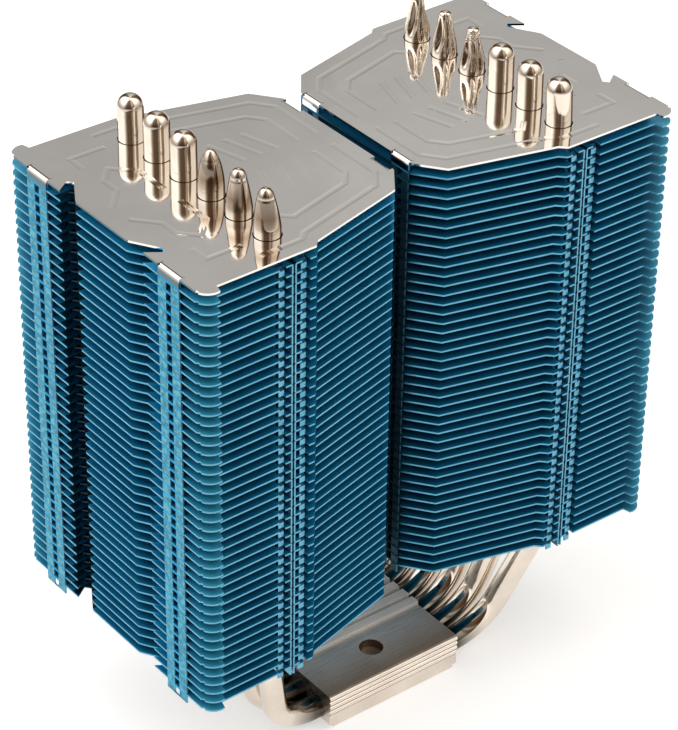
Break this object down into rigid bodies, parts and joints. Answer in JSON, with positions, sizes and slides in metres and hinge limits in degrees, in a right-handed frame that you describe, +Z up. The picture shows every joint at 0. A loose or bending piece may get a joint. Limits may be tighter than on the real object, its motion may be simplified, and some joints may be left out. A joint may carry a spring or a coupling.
{
  "type": "cpu tower cooler",
  "caption": "Passive twin-tower heat-pipe cooler for a processor: two stacks of blue folded fins with bright top plates on U-shaped heat pipes, clamped in a ribbed base",
  "frame": {"origin": "underside of the base plate, in the middle of the cooler seen from above", "axes": "+Z up away from the processor, +X from the left-hand tower to the right-hand tower, +Y from one fan face to the other"},
  "size_m": [0.1304, 0.074, 0.1587],
  "materials": {
    "contact_plate": "nickel-plated copper, fine-milled",
    "cap_block": "bright extruded, brushed top",
    "pipe_plating": "bright nickel plating on copper",
    "sintered_wick": "sintered copper powder",
    "bright_plate": "mirror-bright plated",
    "blue_anodised_fin": "blue anodised, satin"
  },
  "bodies": {
    "root": {"base_plate": "contact_plate", "cap_block": "cap_block", "heat_pipe_1": "pipe_plating", "heat_pipe_2": "pipe_plating", "heat_pipe_3": "pipe_plating", "heat_pipe_4": "pipe_plating", "heat_pipe_5": "pipe_plating", "heat_pipe_6": "pipe_plating", "pipe_wick_1": "sintered_wick", "pipe_wick_2": "sintered_wick", "pipe_wick_3": "sintered_wick", "pipe_wick_4": "sintered_wick", "pipe_wick_5": "sintered_wick", "pipe_wick_6": "sintered_wick", "top_plate_left": "bright_plate", "top_plate_right": "bright_plate", "fins_left_01": "blue_anodised_fin", "fins_left_02": "blue_anodised_fin", "fins_left_03": "blue_anodised_fin", "fins_left_04": "blue_anodised_fin", "fins_left_05": "blue_anodised_fin", "fins_left_06": "blue_anodised_fin", "fins_left_07": "blue_anodised_fin", "fins_left_08": "blue_anodised_fin", "fins_left_09": "blue_anodised_fin", "fins_left_10": "blue_anodised_fin", "fins_left_11": "blue_anodised_fin", "fins_right_01": "blue_anodised_fin", "fins_right_02": "blue_anodised_fin", "fins_right_03": "blue_anodised_fin", "fins_right_04": "blue_anodised_fin", "fins_right_05": "blue_anodised_fin", "fins_right_06": "blue_anodised_fin", "fins_right_07": "blue_anodised_fin", "fins_right_08": "blue_anodised_fin", "fins_right_09": "blue_anodised_fin", "fins_right_10": "blue_anodised_fin", "fins_right_11": "blue_anodised_fin"}
  },
  "joints": []
}
